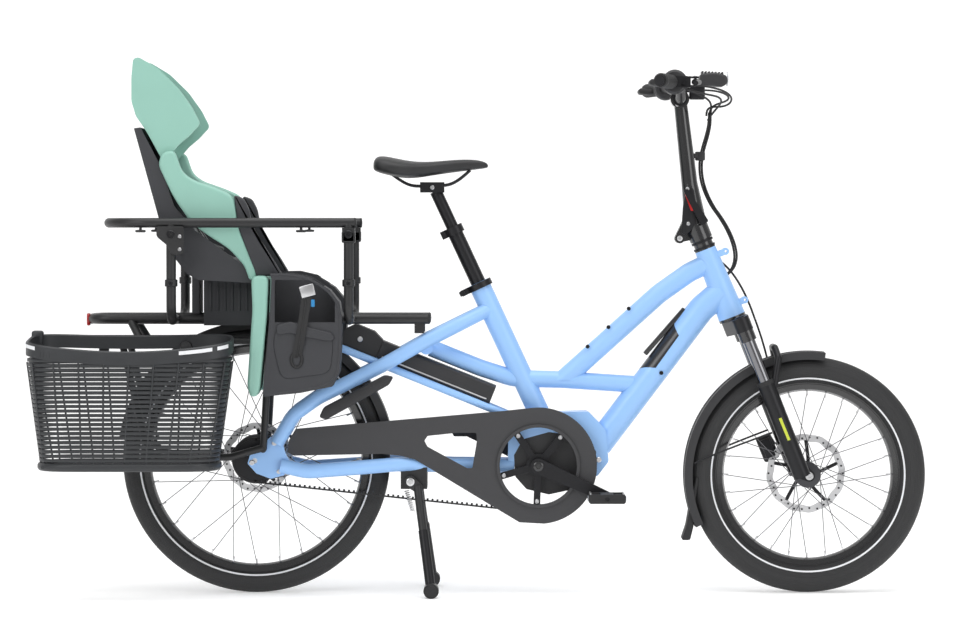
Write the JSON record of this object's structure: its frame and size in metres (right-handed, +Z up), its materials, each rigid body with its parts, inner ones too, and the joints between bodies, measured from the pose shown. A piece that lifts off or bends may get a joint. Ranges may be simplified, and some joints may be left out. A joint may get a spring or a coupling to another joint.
{
  "type": "cargo bicycle",
  "caption": "Compact belt-drive cargo bicycle with suspension fork, child seat inside a hand rail, side basket and two-leg kickstand.",
  "frame": {"origin": "on the ground under the centre of the bounding box", "axes": "+X forward, +Y to the rider's left, +Z up"},
  "size_m": [1.9919, 0.6791, 1.197],
  "materials": {
    "frame_paint": "satin",
    "black_metal": "satin anodised",
    "black_tube": "semi-gloss powder coat",
    "steel": "brushed",
    "tyre": "matte",
    "belt": "matte",
    "dark_plastic": "fine texture",
    "seat_charcoal": "fine texture",
    "seat_green": "satin",
    "pad_fabric": "woven",
    "saddle_cover": "matte synthetic"
  },
  "bodies": {
    "frame": {"head_tube": "frame_paint", "headset": "black_metal", "motor_cradle": "frame_paint", "seat_tube": "frame_paint", "down_tube": "frame_paint", "mid_tube": "frame_paint", "top_tube": "frame_paint", "rear_stays": "frame_paint", "chainstays": "frame_paint", "drive_unit": "dark_plastic", "drive_belt": "belt", "belt_guard": "dark_plastic", "battery_pack": "dark_plastic", "battery_lock_head": "dark_plastic", "seat_clamp": "black_metal", "rear_rack": "black_tube", "rear_mudguard": "dark_plastic", "seat_shell": "seat_charcoal", "seat_side_panels": "seat_green", "leg_guards": "seat_charcoal", "seat_base": "seat_charcoal", "seat_cushion": "pad_fabric", "seat_harness": "pad_fabric", "handrail_ring": "black_tube", "handrail_posts": "black_tube", "kickstand_mount": "black_metal", "front_hoses": "belt"},
    "rear_wheel": {"rear_tyre": "tyre", "rear_rim": "black_metal", "rear_spokes": "steel", "rear_hub": "black_metal"},
    "rear_cog": {"rear_cog": "steel"},
    "crank": {"crank_arms": "black_metal", "belt_ring": "black_metal"},
    "pedal_left": {"pedal_left": "dark_plastic"},
    "pedal_right": {"pedal_right": "dark_plastic"},
    "steerer": {"fork_crown": "black_metal", "stem_base": "black_metal"},
    "fork_slider": {"fork_lowers": "black_metal", "front_mudguard": "dark_plastic"},
    "front_wheel": {"front_tyre": "tyre", "front_rim": "black_metal", "front_spokes": "steel", "front_hub": "black_metal"},
    "bars": {"handlepost": "black_metal", "handlebar": "black_metal", "grips": "belt", "front_light": "dark_plastic"},
    "stem_latch": {"stem_latch": "black_metal"},
    "brake_lever_left": {"brake_lever_left": "black_metal"},
    "brake_lever_right": {"brake_lever_right": "black_metal"},
    "seatpost_lower": {"seatpost_lower": "black_metal"},
    "seatpost_upper": {"seatpost_upper": "black_metal", "saddle": "saddle_cover"},
    "clamp_lever": {"clamp_lever": "black_metal"},
    "kickstand": {"kickstand_legs": "black_metal"},
    "headrest": {"headrest": "seat_green"},
    "foot_rest_left": {"foot_rest_left": "seat_charcoal"},
    "foot_rest_right": {"foot_rest_right": "seat_charcoal"},
    "basket": {"basket": "dark_plastic"}
  },
  "joints": [
    {"name": "rear_wheel_spin", "type": "hinge", "parent": "frame", "child": "rear_wheel", "pos_m": [-0.506, 0, 0.3], "axis": [0, 1, 0], "continuous": true},
    {"name": "rear_cog_spin", "type": "hinge", "parent": "frame", "child": "rear_cog", "pos_m": [-0.506, 0, 0.3], "axis": [0, 1, 0], "continuous": true},
    {"name": "crank_spin", "type": "hinge", "parent": "frame", "child": "crank", "pos_m": [0.126, 0, 0.288], "axis": [0, 1, 0], "continuous": true},
    {"name": "pedal_left_spin", "type": "hinge", "parent": "crank", "child": "pedal_left", "pos_m": [-0.02474, 0.131, 0.35511], "axis": [0, 1, 0], "continuous": true},
    {"name": "pedal_right_spin", "type": "hinge", "parent": "crank", "child": "pedal_right", "pos_m": [0.27674, -0.131, 0.22089], "axis": [0, 1, 0], "continuous": true},
    {"name": "steering", "type": "hinge", "parent": "frame", "child": "steerer", "pos_m": [0.5614, 0, 0.6196], "axis": [-0.3681, 0, 0.9298], "range_deg": [-55, 55], "deforming": ["front_hoses"]},
    {"name": "fork_travel", "type": "slide", "parent": "steerer", "child": "fork_slider", "axis": [-0.3681, 0, 0.9298], "range_m": [0, 0.05], "stiffness_N_per_m": 15000, "springref_m": -0.014},
    {"name": "front_wheel_spin", "type": "hinge", "parent": "fork_slider", "child": "front_wheel", "pos_m": [0.731, 0, 0.265], "axis": [0, 1, 0], "continuous": true},
    {"name": "handlepost_fold", "type": "hinge", "parent": "steerer", "child": "bars", "pos_m": [0.4435, 0, 0.795], "axis": [0, -1, 0], "range_deg": [0, 85]},
    {"name": "stem_latch_open", "type": "hinge", "parent": "bars", "child": "stem_latch", "pos_m": [0.497, -0.034, 0.832], "axis": [0.8638, 0, 0.5039], "range_deg": [0, 100]},
    {"name": "brake_left_pull", "type": "hinge", "parent": "bars", "child": "brake_lever_left", "pos_m": [0.467, 0.208, 1.138], "axis": [0, 0, 1], "range_deg": [0, 12], "stiffness_Nm_per_rad": 1.5},
    {"name": "brake_right_pull", "type": "hinge", "parent": "bars", "child": "brake_lever_right", "pos_m": [0.467, -0.208, 1.138], "axis": [0, 0, -1], "range_deg": [0, 12], "stiffness_Nm_per_rad": 1.5},
    {"name": "seatpost_lower_height", "type": "slide", "parent": "frame", "child": "seatpost_lower", "axis": [-0.4226, 0, 0.9063], "range_m": [-0.07, 0.08]},
    {"name": "seatpost_upper_height", "type": "slide", "parent": "seatpost_lower", "child": "seatpost_upper", "axis": [-0.4226, 0, 0.9063], "range_m": [-0.05, 0.08]},
    {"name": "seat_clamp_open", "type": "hinge", "parent": "frame", "child": "clamp_lever", "pos_m": [-0.0419, -0.02, 0.6723], "axis": [-0.4226, 0, 0.9063], "range_deg": [0, 100]},
    {"name": "kickstand_fold", "type": "hinge", "parent": "frame", "child": "kickstand", "pos_m": [-0.159, 0, 0.253], "axis": [0, 1, 0], "range_deg": [0, 80]},
    {"name": "headrest_height", "type": "slide", "parent": "frame", "child": "headrest", "axis": [-0.2655, 0, 0.9641], "range_m": [0, 0.07]},
    {"name": "foot_rest_left_height", "type": "slide", "parent": "frame", "child": "foot_rest_left", "axis": [0, 0, 1], "range_m": [0, 0.05]},
    {"name": "foot_rest_right_height", "type": "slide", "parent": "frame", "child": "foot_rest_right", "axis": [0, 0, 1], "range_m": [0, 0.05]},
    {"name": "basket_swing", "type": "hinge", "parent": "frame", "child": "basket", "pos_m": [-0.75, -0.088, 0.568], "axis": [-1, 0, 0], "range_deg": [0, 35]}
  ],
  "couplings": [
    {"joint": "rear_cog_spin", "follows": "crank_spin", "ratio": 2.1429}
  ]
}
